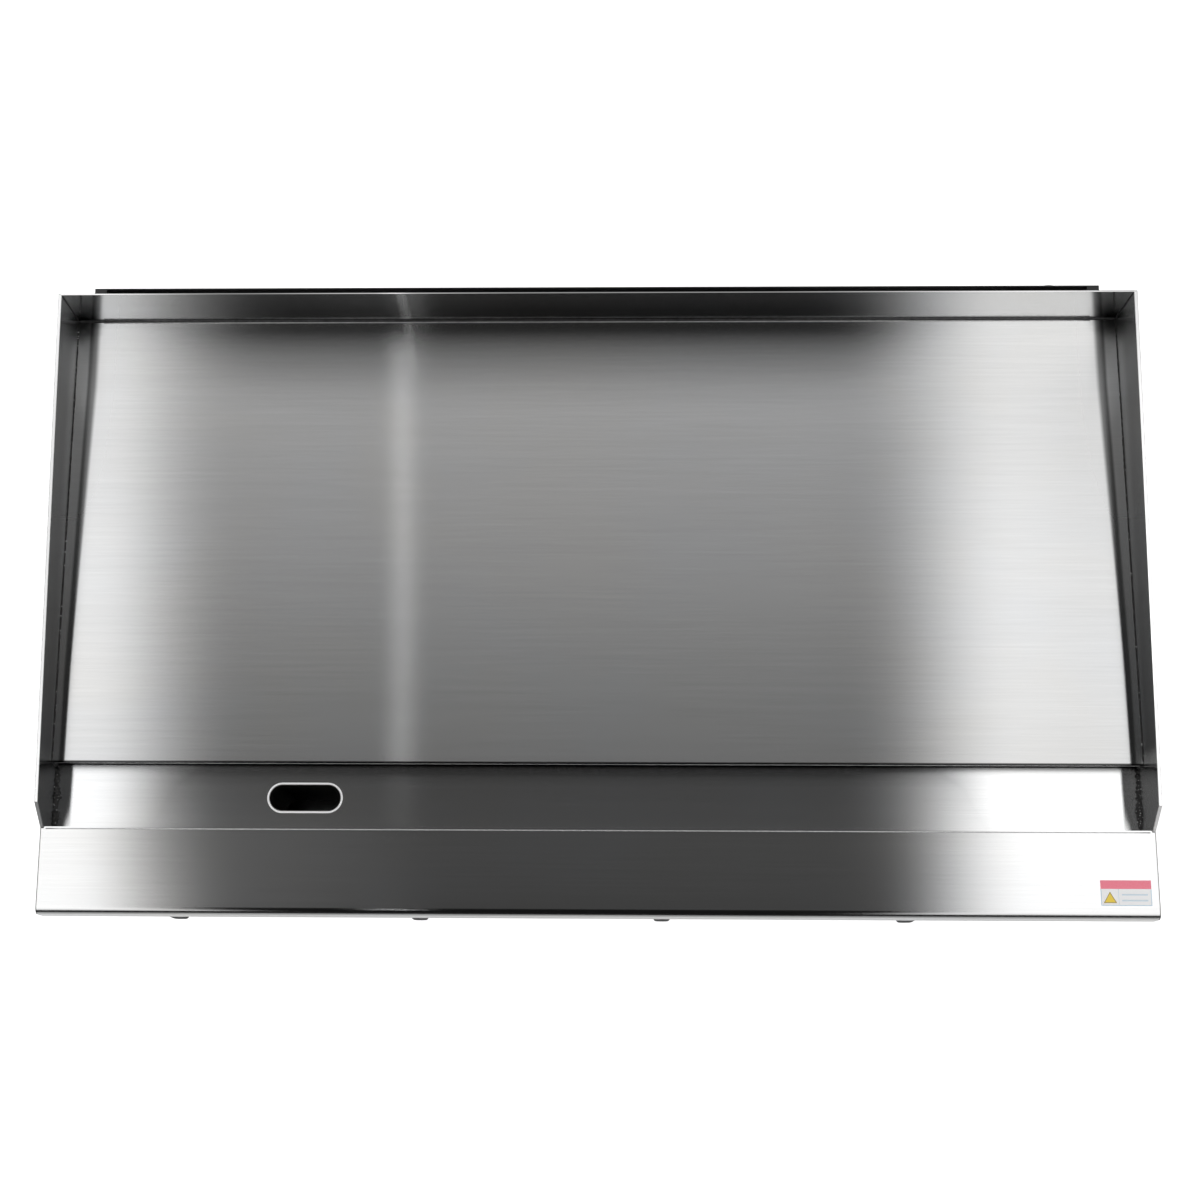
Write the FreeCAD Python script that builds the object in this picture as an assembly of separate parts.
import FreeCAD, Part
import math
import os

# Countertop gas griddle, 48 inch class, four burners.
# Millimetres, +Z up, +X to the right seen from the front, the front faces -Y.
# Origin: centre of the footprint, on the surface the feet stand on.

os.makedirs("parts", exist_ok=True)
V = FreeCAD.Vector

# ---------------------------------------------------------------- driving dimensions
# cooking plate
plate_w = 1219.0          # width between the side guards
plate_d = 526.5           # depth, back guard to front edge
plate_t = 22.0            # thickness
plate_top = 320.0         # height of the cooking surface

# overall
y_back_wall = 313.0       # inner face of the back guard
y_front = -384.0          # front of the ledge
y_rear = 384.0            # end of the gas inlet
foot_h = 28.0             # height of a foot below its leg, screwed in
foot_travel = 25.0        # how far a foot screws out

# splash guard
guard_t_side = 4.0
guard_t_back = 2.0
guard_h_back = 82.0       # above the plate, at the back
guard_h_front = 48.0      # above the plate, at the front corner
y_guard_front = -265.0    # front corner at the top
y_guard_foot = -290.0     # front edge where it meets the ledge
guard_below = 28.0        # how far the side guards reach below the plate surface

# grease trough
trough_depth = 23.0
trough_t = 2.0
y_trough_front = -288.0   # inner face of the front wall
trough_tuck = 15.0        # length under the plate

# drain slot and chute
slot_x = -325.5
slot_y = -250.0
slot_len = 85.5
slot_wid = 34.5
chute_t = 3.0
chute_bottom = 165.0

# front ledge
ledge_w = 1227.0          # flush with the outer faces of the side guards
ledge_rise = 16.0         # above the cooking surface
ledge_t = 2.0
ledge_front_h = 36.0
ledge_bend_r = 8.0
ledge_return_y = -337.0

# casing
case_half = 611.0
case_t = 1.5
pan_z = 100.0
panel_y = -335.0          # outer face of the control panel
panel_top = 300.0
back_y = 355.5            # outer face of the back panel
back_top = 298.0

# flue guard
flue_half = 592.5
flue_t = 1.3
flue_top = 320.0
flue_bottom = 262.0
flue_tab = 14.0

# controls and burners
knob_x = (-482.5, -201.5, 79.5, 360.5)
axis_z = 200.0            # height of valves, knobs and burners
leg_pitch = 128.0         # distance between the two legs of a burner
burner_r = 16.0
burner_wall = 1.5
burner_y0 = -264.0
burner_straight_end = 190.0
push_travel = 3.0
manifold_z = 234.0
manifold_y = -300.0
pipe_r = 13.335           # 3/4 inch gas pipe
pipe_bore = 10.46
supply_x = 552.0

# drip drawer
dr_x0, dr_x1 = -452.0, -202.0
dr_y0, dr_y1 = -333.0, 60.0
dr_z0, dr_z1 = 108.0, 158.0
dr_t = 1.2

# legs
leg_pos = ((-545.0, -268.0), (545.0, -268.0), (-545.0, 262.0), (545.0, 262.0))


# ---------------------------------------------------------------- helpers
def box(x0, x1, y0, y1, z0, z1):
    return Part.makeBox(x1 - x0, y1 - y0, z1 - z0, V(x0, y0, z0))


def cyl(r, p, d, h):
    return Part.makeCylinder(r, h, V(*p), V(*d))


def tube(ro, ri, p, d, h):
    q = V(*p) - V(*d) * 1.0
    return cyl(ro, p, d, h).cut(Part.makeCylinder(ri, h + 2.0, q, V(*d)))


def fuse(items):
    s = items[0]
    if len(items) > 1:
        s = s.fuse(items[1:])
        s = s.removeSplitter()
    return s


def cut(s, tools):
    return s.cut(tools) if tools else s


def prism(points, vec):
    pts = [V(*p) for p in points]
    w = Part.makePolygon(pts + [pts[0]])
    return Part.Face(w).extrude(V(*vec))


def stadium(cx, cy, length, width, z0, z1):
    r = width / 2.0
    h = length / 2.0 - r
    s = box(cx - h, cx + h, cy - r, cy + r, z0, z1)
    a = cyl(r, (cx - h, cy, z0), (0, 0, 1), z1 - z0)
    b = cyl(r, (cx + h, cy, z0), (0, 0, 1), z1 - z0)
    return s.fuse([a, b]).removeSplitter()


def fillet_edges(s, r, test):
    e = [x for x in s.Edges if test(x)]
    return s.makeFillet(r, e) if e else s


def solids(items):
    out = []
    for s in items:
        out.extend(s.Solids)
    return Part.makeCompound(out) if len(out) > 1 else out[0]


names = []


def save(name, shape):
    n = shape.Solids
    if not n:
        raise ValueError(name + " has no solid")
    for s in n:
        if not s.isValid():
            raise ValueError(name + " is not valid")
    if len(n) == 1:
        shape = n[0]
    shape.exportStep("parts/" + name + ".step")
    names.append(name)
    b = shape.BoundBox
    print("%-20s %3d solids  x %8.2f %8.2f  y %8.2f %8.2f  z %7.2f %7.2f  %10.0f mm3" % (
        name, len(n), b.XMin, b.XMax, b.YMin, b.YMax, b.ZMin, b.ZMax, shape.Volume))


half = plate_w / 2.0
y_plate_front = y_back_wall - plate_d
zt = plate_top
z_floor = zt - trough_depth

# ---------------------------------------------------------------- cooking plate
# solid steel plate, its front edge eased where food is scraped into the trough
plate = box(-half, half, y_plate_front, y_back_wall, zt - plate_t, zt)
plate = fillet_edges(plate, 1.2, lambda e: abs(e.BoundBox.YMax - y_plate_front) < 0.01
                     and abs(e.BoundBox.ZMin - zt) < 0.01)
save("griddle_plate", plate)

# ---------------------------------------------------------------- splash guard
zb = zt + guard_h_back
zf = zt + guard_h_front
z_low = zt - guard_below
z_ledge = zt + ledge_rise
outer = half + guard_t_side
# the side guards run on past the plate and close the ends of the trough
slope = (zb - zf) / (y_back_wall + guard_t_back - y_guard_front)
y_mitre = y_back_wall + guard_t_back


def side_guard(sign):
    x_in = sign * half
    x_out = sign * outer
    pts = [(x_in, y_back_wall + guard_t_back, zb), (x_in, y_guard_front, zf),
           (x_in, y_guard_foot, z_ledge), (x_in, y_guard_foot, z_low),
           (x_in, y_back_wall + guard_t_back, z_low)]
    s = prism(pts, (x_out - x_in, 0, 0))
    # mitred to the back guard at the rear corner
    m = prism([(x_in, y_back_wall, z_low - 1), (x_out, y_mitre, z_low - 1),
               (x_in, y_mitre, z_low - 1)], (0, 0, zb - z_low + 2))
    return s.cut(m)


save("splash_left", side_guard(-1))
save("splash_right", side_guard(1))
sb = prism([(-half, y_back_wall, z_low), (half, y_back_wall, z_low),
            (outer, y_mitre, z_low), (-outer, y_mitre, z_low)], (0, 0, zb - z_low))
save("splash_back", sb)

# ---------------------------------------------------------------- grease trough
# a floor strip with the drain slot, and a front strip welded along its edge
floor_strip = box(-half, half, y_trough_front, y_plate_front + trough_tuck, z_floor - trough_t, z_floor)
floor_strip = floor_strip.cut(stadium(slot_x, slot_y, slot_len, slot_wid, z_floor - 10, z_floor + 10))
front_strip = box(-half, half, y_trough_front - trough_t, y_trough_front, z_floor - trough_t, z_ledge)
save("grease_trough", solids([floor_strip, front_strip]))

# oval chute welded into the slot, it drops the grease into the drawer
chute = stadium(slot_x, slot_y, slot_len, slot_wid, chute_bottom, z_floor)
chute = chute.cut(stadium(slot_x, slot_y, slot_len - 2 * chute_t, slot_wid - 2 * chute_t,
                          chute_bottom - 5, z_floor + 5))
save("grease_chute", chute)

# ---------------------------------------------------------------- weld beads
# three-cornered beads along the foot of the guards and the ends of the trough
wb = 1.6
beads = []
beads.append(prism([(-half + wb, y_back_wall, zt), (-half + wb, y_back_wall - wb, zt),
                    (-half + wb, y_back_wall, zt + wb)], (plate_w - 2 * wb, 0, 0)))
for sg in (-1, 1):
    beads.append(prism([(sg * half, y_plate_front + 2, zt), (sg * (half - wb), y_plate_front + 2, zt),
                        (sg * half, y_plate_front + 2, zt + wb)], (0, plate_d - 2 - wb, 0)))
    wt = 2.2
    beads.append(prism([(sg * half, y_trough_front + 2, z_floor),
                        (sg * (half - wt), y_trough_front + 2, z_floor),
                        (sg * half, y_trough_front + 2, z_floor + wt)],
                       (0, y_plate_front - y_trough_front - 4, 0)))
save("weld_beads", solids(beads))

# ---------------------------------------------------------------- front ledge
# one folded sheet: rear lip, top, rounded front bend, front flange, bottom return, closed ends
lw = ledge_w / 2.0
y_lr = y_trough_front - trough_t
ou = box(-lw, lw, y_front, y_lr, z_ledge - ledge_front_h, z_ledge)
ou = fillet_edges(ou, ledge_bend_r, lambda e: abs(e.BoundBox.YMax - y_front) < 0.01
                  and abs(e.BoundBox.ZMin - z_ledge) < 0.01)
ou = fillet_edges(ou, 3.0, lambda e: abs(e.BoundBox.YMax - y_front) < 0.01
                  and abs(e.BoundBox.ZMax - (z_ledge - ledge_front_h)) < 0.01)
inn = box(-lw + ledge_t, lw - ledge_t, y_front + ledge_t, y_lr - ledge_t,
          z_ledge - ledge_front_h + ledge_t, z_ledge - ledge_t)
inn = fillet_edges(inn, ledge_bend_r - ledge_t, lambda e: abs(e.BoundBox.YMax - y_front - ledge_t) < 0.01
                   and abs(e.BoundBox.ZMin - z_ledge + ledge_t) < 0.01)
ledge = ou.cut(inn)
# the bottom return stops at the control panel
ledge = ledge.cut(box(-lw - 1, lw + 1, ledge_return_y, y_lr + 1,
                      z_ledge - ledge_front_h - 1, z_ledge - ledge_front_h + ledge_t))
save("front_ledge", ledge)

# small flat label on the ledge
lab = box(549.9, 604.6, -369.4, -342.0, z_ledge, z_ledge + 0.25)
save("label_plate", lab)

# ---------------------------------------------------------------- casing
# control panel: front sheet with top and bottom returns, four stem holes and the drawer mouth
cp = fuse([box(-case_half, case_half, panel_y, panel_y + case_t, pan_z, panel_top),
           box(-case_half + case_t, case_half - case_t, panel_y, panel_y + 18.0, pan_z, pan_z + case_t),
           box(-case_half + case_t, case_half - case_t, panel_y, panel_y + 40.0, panel_top - case_t, panel_top)])
cp_cut = [cyl(8.0, (x, panel_y - 5, axis_z), (0, 1, 0), 10) for x in knob_x]
cp_cut.append(box(dr_x0 - 2.5, dr_x1 + 2.5, panel_y - 5, panel_y + 5, dr_z0 - 3.0, dr_z1 + 2.0))
cp = cut(cp, cp_cut)
save("control_panel", cp)


def side_panel(sign):
    a = sign * case_half
    b = sign * (case_half - case_t)
    s = box(min(a, b), max(a, b), panel_y + case_t, back_y - case_t, pan_z, z_low)
    # raised front part, it ends inside the closed end of the ledge
    s = s.fuse(box(min(a, b), max(a, b), panel_y + case_t, y_lr - 4.0, z_low - 5.0, z_low + 18.0)).removeSplitter()
    # small louvres low in the side let air to the burners
    cuts = []
    for i in range(9):
        y = -150.0 + i * 38.0
        cuts.append(box(min(a, b) - 2, max(a, b) + 2, y, y + 26.0, 122.0, 127.0))
        cuts.append(box(min(a, b) - 2, max(a, b) + 2, y, y + 26.0, 136.0, 141.0))
    return cut(s, cuts)


save("side_panel_left", side_panel(-1))
save("side_panel_right", side_panel(1))

bp = box(-case_half, case_half, back_y - case_t, back_y, pan_z, back_top)
bp_cut = [cyl(pipe_r + 1.5, (supply_x, back_y - 8, manifold_z), (0, 1, 0), 16)]
for i in range(14):
    for zz in (118.0, 132.0):
        x = -520.0 + i * 76.0
        bp_cut.append(box(x, x + 50.0, back_y - 5, back_y + 5, zz, zz + 5.0))
bp = cut(bp, bp_cut)
# small top tabs close the rear corners beside the flue guard
for sg in (-1, 1):
    a, b = sorted((sg * (flue_half + 0.5), sg * (case_half - case_t)))
    bp = bp.fuse(box(a, b, y_mitre, back_y - case_t, back_top - case_t, back_top))
bp = bp.removeSplitter()
save("back_panel", bp)

pan = [box(-case_half + case_t, case_half - case_t, panel_y + 18.0, back_y - case_t, pan_z, pan_z + 2.0)]
for sg in (-1, 1):
    a, b = sorted((sg * (case_half - case_t), sg * (case_half - case_t - 2.0)))
    pan.append(box(a, b, panel_y + 18.0, back_y - case_t, pan_z, pan_z + 16.0))
pan.append(box(-case_half + case_t, case_half - case_t, back_y - case_t - 2.0, back_y - case_t,
               pan_z, pan_z + 16.0))
pan = fuse(pan)
pan_cut = []
# air openings under the burner inlets and along the chamber
for x in knob_x:
    if x < -400 or x > 0:
        for k in range(3):
            pan_cut.append(box(x + 20.0, x + 80.0, -255.0 + k * 16.0, -247.0 + k * 16.0,
                               pan_z - 5, pan_z + 10))
# (only clear of the drawer and its runners)
pan_cut = [c for c in pan_cut if not (c.BoundBox.XMax > dr_x0 - 12 and c.BoundBox.XMin < dr_x1 + 12)]
for (x, y) in leg_pos:
    for dx in (-30.0, 30.0):
        for dy in (-30.0, 30.0):
            pan_cut.append(cyl(3.3, (x + dx, y + dy, pan_z - 5), (0, 0, 1), 12))
pan = cut(pan, pan_cut)
save("bottom_pan", pan)

# ---------------------------------------------------------------- flue guard
# black channel behind the back guard: rear sheet, two ends and two small top tabs
fy1 = back_y - case_t
fl = [box(-flue_half, flue_half, fy1 - flue_t, fy1, flue_bottom, flue_top)]
for sg in (-1, 1):
    a, b = sorted((sg * flue_half, sg * (flue_half - flue_t)))
    fl.append(box(a, b, y_mitre, fy1, flue_bottom, flue_top))
    a, b = sorted((sg * flue_half, sg * (flue_half - flue_tab)))
    fl.append(box(a, b, y_mitre, fy1, flue_top - flue_t, flue_top))
save("flue_guard", fuse(fl))

# ---------------------------------------------------------------- frame
def rail(x0, x1, y0, y1, z0, z1, along, t=2.0):
    s = box(x0, x1, y0, y1, z0, z1)
    if along == "x":
        c = box(x0 - 1, x1 + 1, y0 + t, y1 - t, z0 + t, z1 - t)
    elif along == "y":
        c = box(x0 + t, x1 - t, y0 - 1, y1 + 1, z0 + t, z1 - t)
    else:
        c = box(x0 + t, x1 - t, y0 + t, y1 - t, z0 - 1, z1 + 1)
    return s.cut(c)


z_pb = zt - plate_t
r0, r1 = case_half - case_t - 30.5, case_half - case_t - 0.5     # 30 mm square tube
save("top_rail_left", rail(-r1, -r0, -196.0, y_back_wall - 1, z_pb - 30, z_pb, "y"))
save("top_rail_right", rail(r0, r1, -196.0, y_back_wall - 1, z_pb - 30, z_pb, "y"))
save("top_rail_front", rail(-r0, r0, -196.0, -166.0, z_pb - 30, z_pb, "x"))
save("top_rail_rear", rail(-r0, r0, 280.0, 310.0, z_pb - 30, z_pb, "x"))
posts = []
for sg in (-1, 1):
    a, b = sorted((sg * r0, sg * r1))
    for (y0, y1) in ((-196.0, -166.0), (280.0, 310.0)):
        posts.append(rail(a + (2.5 if sg < 0 else 0), b - (2.5 if sg > 0 else 0), y0, y1,
                          pan_z + 2.0, z_pb - 30, "z"))
save("corner_posts", solids(posts))

# ---------------------------------------------------------------- burner chamber
cx = 521.0
fw = box(-r0, r0, -216.0, -214.5, 159.0, 264.0)
fw_cut = [cyl(18.0, (x, -220, axis_z), (0, 1, 0), 10) for x in knob_x]
fw_cut += [cyl(4.0, (x + 40.0, -220, 222.0), (0, 1, 0), 10) for x in knob_x]
fw_cut.append(cyl(15.0, (supply_x, -220, manifold_z), (0, 1, 0), 10))
fw = cut(fw, fw_cut)
save("chamber_front_wall", fw)
lin = []
for sg in (-1, 1):
    a, b = sorted((sg * cx, sg * (cx + 1.2)))
    lin.append(box(a, b, -160.0, 279.0, 186.0, 262.0))
save("chamber_liners", solids(lin))
save("heat_shield", box(-cx, cx, -212.0, 300.0, 163.0, 164.2))

bars = [box(-r0 - 2.0, r0 + 2.0, -166.0, -154.0, 166.0, axis_z - burner_r),
        box(-r0 - 2.0, r0 + 2.0, 256.0, 268.0, 166.0, axis_z - burner_r)]
bars = [b.cut(box(-r0 - 3, r0 + 3, b.BoundBox.YMin + 2.5, b.BoundBox.YMax + 1, 160.0,
                  axis_z - burner_r - 2.5)) for b in bars]
save("burner_bars", solids(bars))


# U-shaped burner: inlet leg, round bend, return leg closed at its end, slots along the top
def burner(x):
    r = leg_pitch / 2.0
    xa, xb, cxm = x, x + leg_pitch, x + r
    y0, y1, y2 = burner_y0, burner_straight_end, -190.0

    def u(rad, ya, yb):
        p1 = V(xa, ya, axis_z)
        w = Part.Wire([
            Part.LineSegment(p1, V(xa, y1, axis_z)).toShape(),
            Part.Arc(V(xa, y1, axis_z), V(cxm, y1 + r, axis_z), V(xb, y1, axis_z)).toShape(),
            Part.LineSegment(V(xb, y1, axis_z), V(xb, yb, axis_z)).toShape()])
        prof = Part.Wire([Part.Circle(p1, V(0, 1, 0), rad).toShape()])
        return w.makePipeShell([prof], True, True)

    o = u(burner_r, y0, y2)
    i = u(burner_r - burner_wall, y0 - 2.0, y2 + 3.0)
    s = o.cut(i)
    slots = []
    y = -140.0
    while y < y1 - 20:
        slots.append(box(xa - 0.9, xa + 0.9, y, y + 22.0, axis_z + 8, axis_z + 25))
        slots.append(box(xb - 0.9, xb + 0.9, y, y + 22.0, axis_z + 8, axis_z + 25))
        y += 34.0
    # primary air windows in the inlet end
    for d in ((1, 0, 0), (-1, 0, 0)):
        slots.append(box(xa if d[0] > 0 else xa - 25, xa + 25 if d[0] > 0 else xa,
                         y0 + 7.0, y0 + 17.0, axis_z - 6.0, axis_z + 6.0))
    return s.cut(slots)


def shutter(x):
    y0 = burner_y0 + 1.0
    s = tube(burner_r + 1.3, burner_r + 0.06, (x, y0, axis_z), (0, 1, 0), 24.0)
    s = s.fuse(box(x - 1.5, x + 1.5, y0 + 8.0, y0 + 16.0, axis_z + burner_r + 0.8,
                   axis_z + burner_r + 8.0)).removeSplitter()
    cuts = [box(x, x + 25, y0 + 6.0, y0 + 16.0, axis_z - 6.0, axis_z + 6.0),
            box(x - 25, x, y0 + 6.0, y0 + 16.0, axis_z - 6.0, axis_z + 6.0)]
    return s.cut(cuts)


for n, x in enumerate(knob_x, 1):
    save("burner_%d" % n, burner(x))
    save("air_shutter_%d" % n, shutter(x))

# ---------------------------------------------------------------- gas train
# manifold pipe with closed ends, it lies along X above the valves
man_x0, man_x1 = -540.0, supply_x
man = tube(pipe_r, pipe_bore, (man_x0, manifold_y, manifold_z), (1, 0, 0), man_x1 - man_x0 - 20)
man = man.cut([cyl(3.0, (x, manifold_y, manifold_z - 20), (0, 0, 1), 18) for x in knob_x])
man = man.fuse([cyl(pipe_r + 3.0, (man_x0 - 6.0, manifold_y, manifold_z), (1, 0, 0), 6.0)]).removeSplitter()
save("gas_manifold", man)

# elbow and supply pipe, its rear end is the gas inlet
el = [cyl(18.0, (supply_x - 24.0, manifold_y, manifold_z), (1, 0, 0), 24.0),
      Part.makeSphere(18.0, V(supply_x, manifold_y, manifold_z)),
      cyl(18.0, (supply_x, manifold_y, manifold_z), (0, 1, 0), 26.0),
      cyl(pipe_r, (supply_x, manifold_y, manifold_z), (0, 1, 0), y_rear - manifold_y)]
el = fuse(el)
el = el.cut([cyl(pipe_bore, (supply_x, manifold_y, manifold_z), (0, 1, 0), y_rear - manifold_y + 5),
             cyl(pipe_bore, (supply_x - 40, manifold_y, manifold_z), (1, 0, 0), 40.0),
             cyl(pipe_r, (supply_x - 40, manifold_y, manifold_z), (1, 0, 0), 20.0)])
save("supply_pipe", el)

valves, hoods, bezels, pilots = [], [], [], []
plug_r = 7.0
run = 0.05
for n, x in enumerate(knob_x, 1):
    # valve body: brass block with a plug bore, an inlet boss up to the manifold and an outlet
    b = fuse([cyl(13.0, (x, -322.0, axis_z), (0, 1, 0), 44.0),
              cyl(6.0, (x, -280.0, axis_z), (0, 1, 0), 12.0),
              cyl(8.0, (x, manifold_y, axis_z), (0, 0, 1), manifold_z - pipe_r - axis_z + 1.5)])
    b = b.cut([cyl(plug_r + run, (x, -313.0, axis_z), (0, 1, 0), 23.0),
               cyl(4.0 + run, (x, -330.0, axis_z), (0, 1, 0), 20.0),
               cyl(3.0, (x, -295.0, axis_z), (0, 1, 0), 40.0),
               cyl(3.0, (x, manifold_y, axis_z + 5.0), (0, 0, 1), 40.0),
               cyl(pipe_r, (x - 30, manifold_y, manifold_z), (1, 0, 0), 60.0)])
    valves.append(b)
    # plug with a cross port, shut at rest, and a D-shaped socket for the stem
    p = cyl(plug_r, (x, -312.9, axis_z), (0, 1, 0), 22.7)
    sock = cyl(4.1, (x, -314.0, axis_z), (0, 1, 0), 13.5).cut(
        box(x - 10, x + 10, -320.0, -298.0, axis_z + 3.1, axis_z + 10))
    p = p.cut([sock, cyl(2.8, (x, -298.0, axis_z), (0, 1, 0), 12.0),
               cyl(2.0, (x - 10.0, -294.5, axis_z), (1, 0, 0), 10.0)])
    save("valve_plug_%d" % n, p)
    # stem with a flat along its whole length
    st = cyl(4.0, (x, -360.0, axis_z), (0, 1, 0), 55.0).cut(
        box(x - 10, x + 10, -370.0, -322.5, axis_z + 3.0, axis_z + 10))
    st = st.cut(box(x - 10, x + 10, -317.5, -300.0, axis_z + 3.0, axis_z + 10))
    save("valve_stem_%d" % n, st)
    # orifice hood, a hexagonal cap pushed on the outlet
    hx = [(x + 8.0 * math.cos(math.radians(60 * k)), -277.0, axis_z + 8.0 * math.sin(math.radians(60 * k)))
          for k in range(6)]
    h = prism(hx, (0, 11.0, 0)).fuse(cyl(5.0, (x, -266.0, axis_z), (0, 1, 0), 5.0)).removeSplitter()
    h = h.cut([cyl(6.0, (x, -278.0, axis_z), (0, 1, 0), 10.0),
               cyl(1.0, (x, -270.0, axis_z), (0, 1, 0), 12.0)])
    hoods.append(h)
    # bezel ring on the panel
    z = Part.makeCylinder(29.0, 2.0, V(x, panel_y - 2.0, axis_z), V(0, 1, 0))
    z = fillet_edges(z, 1.0, lambda e: abs(e.BoundBox.YMax - (panel_y - 2.0)) < 0.01)
    bezels.append(z.cut(cyl(8.0, (x, panel_y - 5, axis_z), (0, 1, 0), 10)))
    # standing pilot: thin tube from the manifold to a small hooded head beside the burner
    pt = tube(3.0, 2.0, (x + 40.0, manifold_y + 9.0, 222.0), (0, 1, 0), 95.0)
    pt = pt.cut(cyl(pipe_r, (x, manifold_y, manifold_z), (1, 0, 0), 80.0))
    head = cyl(5.0, (x + 40.0, -196.0, 222.0), (0, 1, 0), 14.0).cut(
        cyl(3.0, (x + 40.0, -197.0, 222.0), (0, 1, 0), 8.0))
    head = head.cut([box(x + 39.0, x + 41.0, -188.0, -180.0, 222.0, 230.0),
                     cyl(2.0, (x + 40.0, -190.0, 222.0), (0, 1, 0), 5.0)])
    pilots += [pt, head]
save("valve_bodies", solids(valves))
save("orifice_hoods", solids(hoods))
save("knob_bezels", solids(bezels))
save("pilot_lines", solids(pilots))


# ---------------------------------------------------------------- knobs
# round skirt with an upright bar grip, D-shaped socket on the stem, and an index notch
def knob(x):
    yb = panel_y - 2.0 - push_travel - 1.5      # rear of the skirt, clear for the push travel
    yt = -377.6
    sk = cyl(25.0, (x, yb - 12.0, axis_z), (0, 1, 0), 12.0)
    sk = fillet_edges(sk, 2.5, lambda e: abs(e.BoundBox.YMax - (yb - 12.0)) < 0.01)
    g = box(x - 9.5, x + 9.5, yt, yb - 6.0, axis_z - 23.5, axis_z + 23.5)
    g = g.makeFillet(8.0, [e for e in g.Edges if e.BoundBox.YLength > 10])
    g = fillet_edges(g, 3.0, lambda e: abs(e.BoundBox.YMax - yt) < 0.01)
    k = sk.fuse(g).removeSplitter()
    hub = cyl(9.0, (x, yb - 1.0, axis_z), (0, 1, 0), 3.0)
    rec = cyl(21.0, (x, yb - 3.0, axis_z), (0, 1, 0), 10.0).cut(
        cyl(9.0, (x, yb - 4.0, axis_z), (0, 1, 0), 12.0))
    k = k.cut(rec)
    sock = cyl(4.0, (x, -360.0, axis_z), (0, 1, 0), 40.0).cut(
        box(x - 10, x + 10, -370.0, -300.0, axis_z + 3.0, axis_z + 10))
    k = k.cut([sock, box(x - 1.0, x + 1.0, yt - 1.0, yt + 1.2, axis_z + 4.0, axis_z + 22.0)])
    return k


for n, x in enumerate(knob_x, 1):
    save("knob_%d" % n, knob(x))

# ---------------------------------------------------------------- drip drawer
dr = box(dr_x0, dr_x1, dr_y0, dr_y1, dr_z0, dr_z1).cut(
    box(dr_x0 + dr_t, dr_x1 - dr_t, dr_y0 + dr_t, dr_y1 - dr_t, dr_z0 + dr_t, dr_z1 + 5))
face = box(dr_x0 - 9.0, dr_x1 + 9.0, panel_y - 2.3, panel_y - 0.5, dr_z0 - 5.0, dr_z1 + 5.0)
link = box(dr_x0 + 0.5, dr_x1 - 0.5, panel_y - 0.6, dr_y0 + 0.5, dr_z0 + 0.5, dr_z1 - 1.0)
drawer = dr.fuse([face, link]).removeSplitter()
save("drip_drawer", drawer)

# bow handle on the drawer front, two short posts and a rounded bar
hx0, hx1 = -377.0, -277.0
hz = 133.0
yh = panel_y - 2.3
bar = cyl(4.5, (hx0 - 8.0, yh - 24.0, hz), (1, 0, 0), hx1 - hx0 + 16.0)
bar = fillet_edges(bar, 1.5, lambda e: e.BoundBox.XLength < 0.01 and e.BoundBox.YLength > 5)
p1 = cyl(4.0, (hx0, yh - 24.0, hz), (0, 1, 0), 24.0)
p2 = cyl(4.0, (hx1, yh - 24.0, hz), (0, 1, 0), 24.0)
f1 = cyl(7.0, (hx0, yh - 2.0, hz), (0, 1, 0), 2.0)
f2 = cyl(7.0, (hx1, yh - 2.0, hz), (0, 1, 0), 2.0)
save("drawer_handle", fuse([bar, p1, p2, f1, f2]))

runs = []
for sg, xe in ((-1, dr_x0), (1, dr_x1)):
    a = xe + sg * 2.0
    v0, v1 = sorted((a, a + sg * 2.0))
    s0, s1 = sorted((a + sg * 2.0, xe - sg * 12.0))
    f0, f1_ = sorted((a, a + sg * 16.0))
    runs.append(fuse([box(v0, v1, -300.0, 80.0, pan_z + 2.0, 150.0),
                      box(s0, s1, -300.0, 80.0, 105.7, 107.7),
                      box(f0, f1_, -300.0, 80.0, pan_z + 2.0, pan_z + 4.0)]))
save("drawer_runners", solids(runs))

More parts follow.
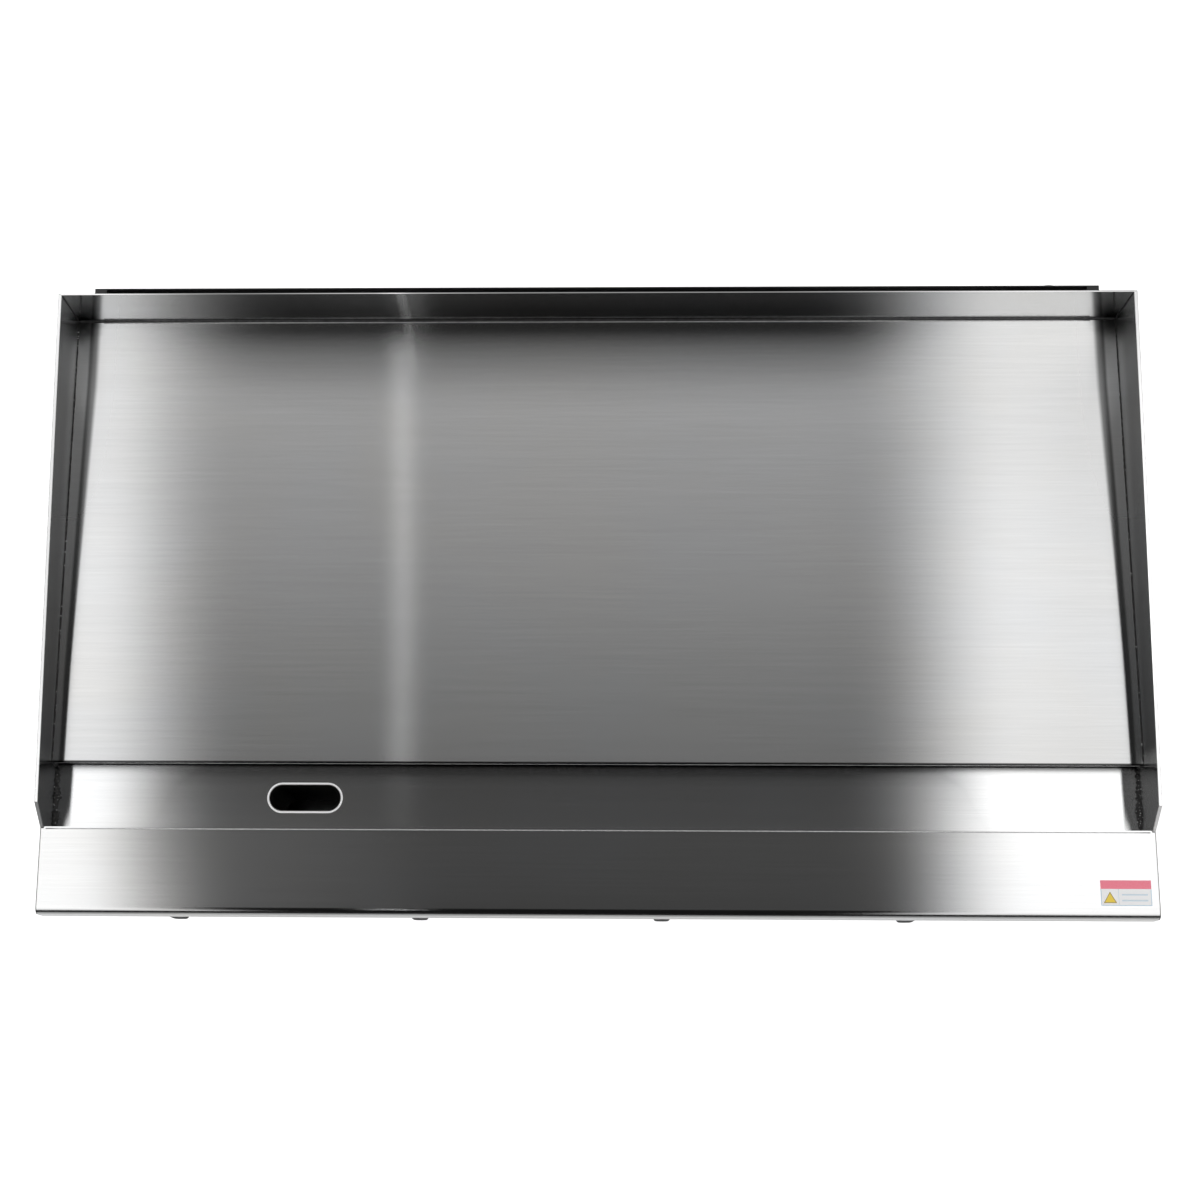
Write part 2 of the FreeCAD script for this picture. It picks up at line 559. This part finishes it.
# ---------------------------------------------------------------- legs and feet
legs = []
stem_r = 8.0
for (x, y) in leg_pos:
    top = box(x - 40.0, x + 40.0, y - 40.0, y + 40.0, pan_z - 4.0, pan_z)
    top = top.makeFillet(8.0, [e for e in top.Edges if e.BoundBox.ZLength > 3])
    top = top.cut([cyl(3.3, (x + dx, y + dy, pan_z - 8), (0, 0, 1), 12)
                   for dx in (-30.0, 30.0) for dy in (-30.0, 30.0)])
    t1 = cyl(20.5, (x, y, foot_h + 0.6), (0, 0, 1), pan_z - 4.0 - foot_h - 0.6)
    lg = top.fuse(t1).removeSplitter()
    lg = lg.cut(cyl(stem_r + run, (x, y, foot_h - 5), (0, 0, 1), 67.0))
    legs.append(lg)
save("legs", solids(legs))
for n, (x, y) in enumerate(leg_pos, 1):
    # bullet foot: stem in the leg, hexagon for the spanner, rounded pad
    body = Part.makeCone(13.0, 19.0, 20.0, V(x, y, 0.0), V(0, 0, 1))
    body = fillet_edges(body, 2.0, lambda e: abs(e.BoundBox.ZMax) < 0.01)
    hexa = prism([(x + 20.0 * math.cos(math.radians(60 * k)), y + 20.0 * math.sin(math.radians(60 * k)), 20.0)
                  for k in range(6)], (0, 0, 8.0))
    stem = cyl(stem_r, (x, y, 20.0), (0, 0, 1), 68.0)
    save("foot_%d" % n, fuse([body, hexa, stem]))


# ---------------------------------------------------------------- fasteners
def screw(p, d, r, h, shank_r, shank_l):
    # dome-headed screw standing on the surface at p, pointing along -d
    head = Part.makeCylinder(r, h, V(*p), V(*d))
    hv = V(*p) + V(*d) * h
    head = fillet_edges(head, h * 0.6, lambda e: (e.CenterOfMass - hv).Length < 0.05)
    return head


fs = []
for sg in (-1, 1):
    for y in (-300.0, -80.0, 130.0, 320.0):
        for z in (110.0, 280.0):
            fs.append(screw((sg * case_half, y, z), (sg, 0, 0), 4.5, 2.4, 2.0, 6.0))
for x in (-590.0, -300.0, 0.0, 300.0, 590.0):
    for z in (108.0, 288.0):
        fs.append(screw((x, back_y, z), (0, 1, 0), 4.5, 2.4, 2.0, 6.0))
for x in (-598.0, -60.0, 218.0, 598.0):
    fs.append(screw((x, panel_y, 256.0), (0, -1, 0), 4.5, 2.4, 2.0, 6.0))
for x in (-598.0, 598.0):
    fs.append(screw((x, panel_y, 112.0), (0, -1, 0), 4.5, 2.4, 2.0, 6.0))
for (x, y) in leg_pos:
    for dx in (-30.0, 30.0):
        for dy in (-30.0, 30.0):
            # hexagon bolt up through the leg plate and the bottom pan, nut inside
            q = fuse([prism([(x + dx + 5.8 * math.cos(math.radians(60 * k)),
                              y + dy + 5.8 * math.sin(math.radians(60 * k)), pan_z - 8.0)
                             for k in range(6)], (0, 0, 4.0)),
                      cyl(3.0, (x + dx, y + dy, pan_z - 5.0), (0, 0, 1), 13.0)])
            fs.append(q)
save("fasteners", solids(fs))

print(len(names), "nodes")
